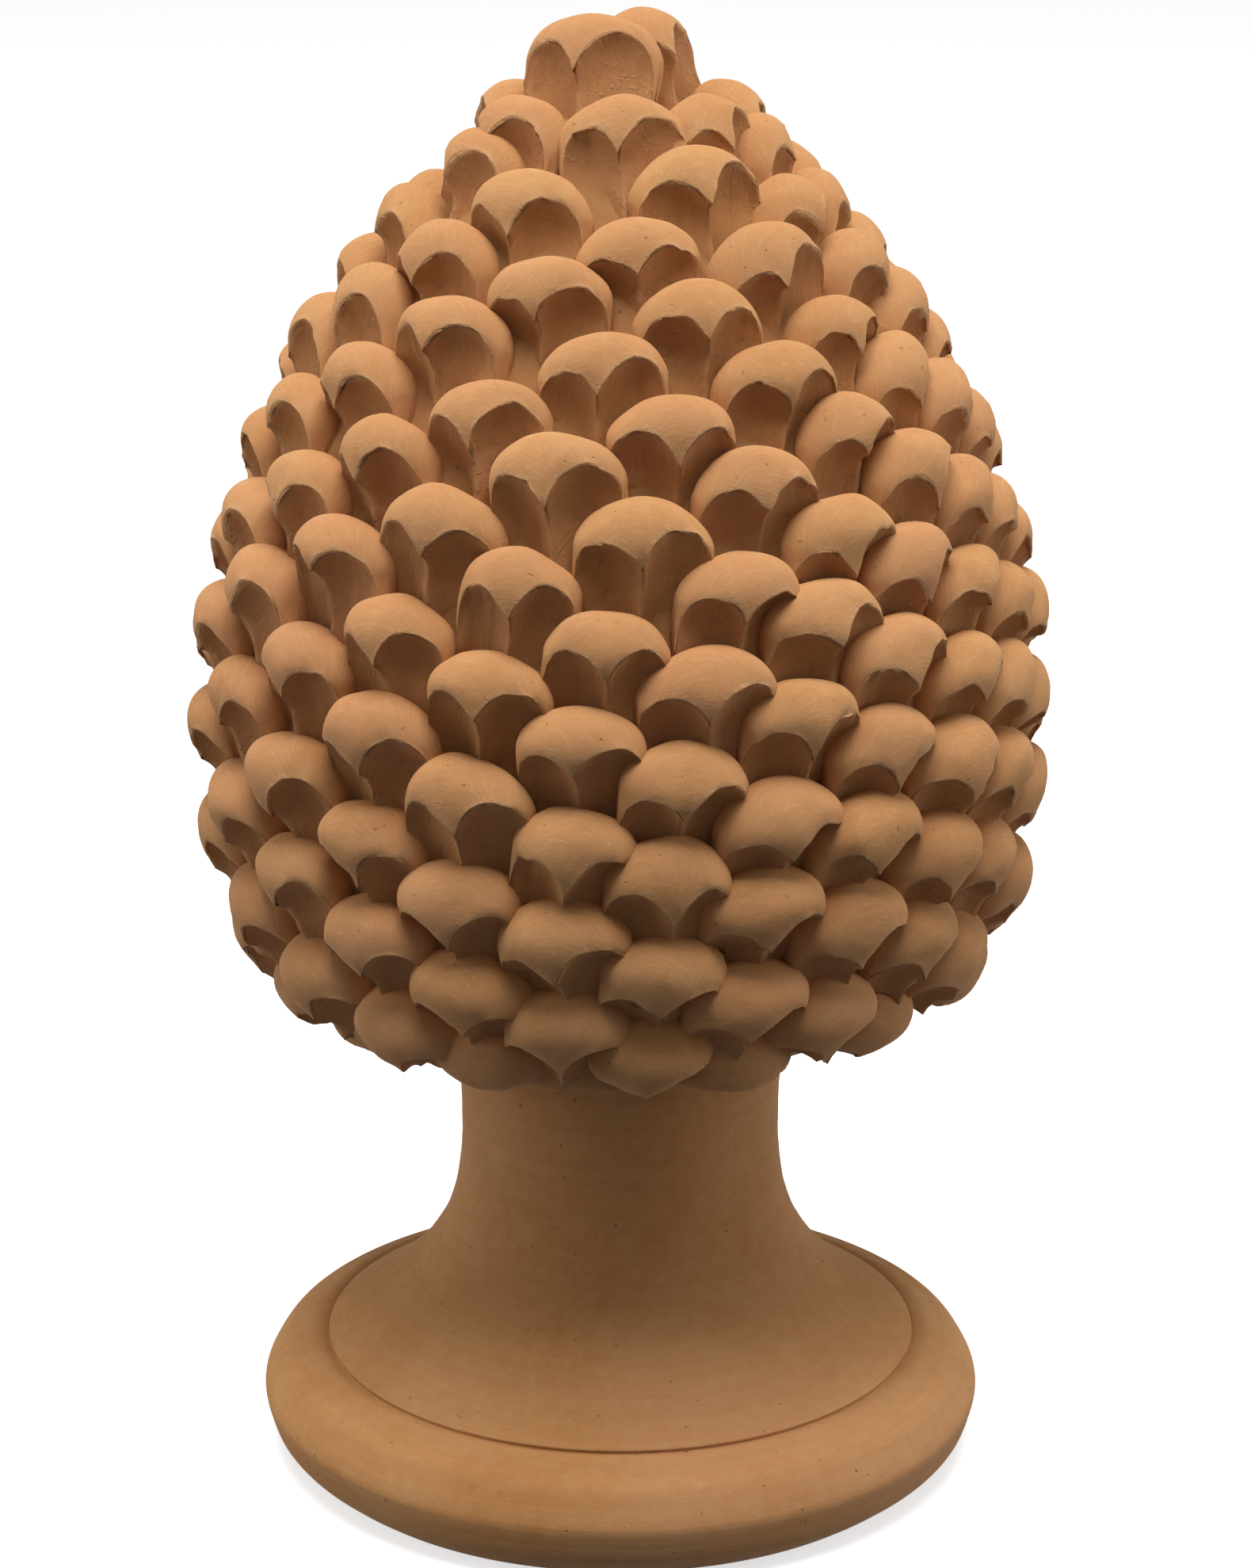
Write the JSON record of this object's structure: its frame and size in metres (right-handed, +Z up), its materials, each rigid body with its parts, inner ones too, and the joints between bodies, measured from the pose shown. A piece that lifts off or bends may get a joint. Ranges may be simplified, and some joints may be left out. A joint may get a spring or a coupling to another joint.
{
  "type": "pinecone finial",
  "caption": "Terracotta finial in the form of a closed pinecone of gouged thumb-shaped scales on a thrown, hollow, flared foot; it caps a pier or post.",
  "frame": {"origin": "on the finial's axis, in the plane of the flat ring that it stands on", "axes": "+Z up along the axis from the foot to the tip, -Y towards the side that the picture shows, +X to that viewer's right"},
  "size_m": [0.1999, 0.1999, 0.3468],
  "materials": {
    "terracotta": "unglazed biscuit-fired terracotta, dry matt"
  },
  "bodies": {
    "root": {"pinecone_finial": "terracotta"}
  },
  "joints": []
}
